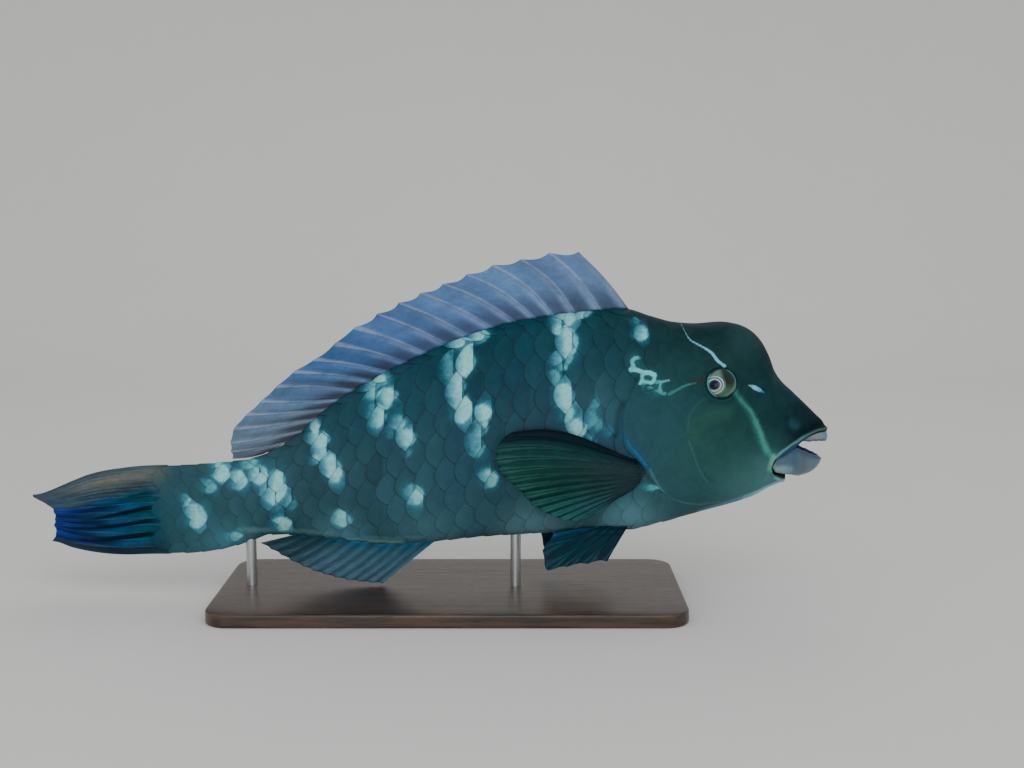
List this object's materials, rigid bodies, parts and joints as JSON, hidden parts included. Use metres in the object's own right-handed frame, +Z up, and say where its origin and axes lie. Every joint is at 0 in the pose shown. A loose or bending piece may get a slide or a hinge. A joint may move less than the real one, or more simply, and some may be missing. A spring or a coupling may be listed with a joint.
{
  "type": "steephead parrotfish model on a display stand",
  "caption": "Life-size still model of a large blue-green steephead parrotfish with raised fin rays, an open beak and a plain stand with a flat board and rods.",
  "frame": {"origin": "middle of the overall bounding box seen from above, on the underside of the stand's board", "axes": "+X towards the fish's snout, +Y towards its left side, +Z up from the surface the stand rests on"},
  "size_m": [0.6065, 0.15, 0.2642],
  "materials": {
    "skin": "blue-green scaled skin with pale blotched bars and a damp satin sheen",
    "beak": "grey-white fused tooth plates, smooth with fine growth ridges",
    "dorsal_fin": "lavender-blue ray fin, satin",
    "anal_fin": "dark slate-blue ray fin, satin",
    "tail_fin": "bright blue ray fin with a grey upper lobe, satin",
    "paired_fin": "dark green ray fin with a near-black leading edge, satin",
    "eye": "clear gloss over a pale iris ring and a small dark pupil",
    "stand_board": "dark stained hardwood with an eased edge",
    "stand_rod": "brushed round rod"
  },
  "bodies": {
    "root": {"head": "skin", "lower_jaw": "skin", "gill_cover_right": "skin", "gill_cover_left": "skin", "trunk": "skin", "tail_stalk": "skin", "beak_upper": "beak", "beak_lower": "beak", "fin_dorsal": "dorsal_fin", "fin_anal": "anal_fin", "fin_caudal": "tail_fin", "fin_pectoral_right": "paired_fin", "fin_pectoral_left": "paired_fin", "fin_pelvic_right": "paired_fin", "fin_pelvic_left": "paired_fin", "eye_right": "eye", "eye_left": "eye", "stand_base": "stand_board", "stand_rod_front": "stand_rod", "stand_rod_rear": "stand_rod"}
  },
  "joints": []
}
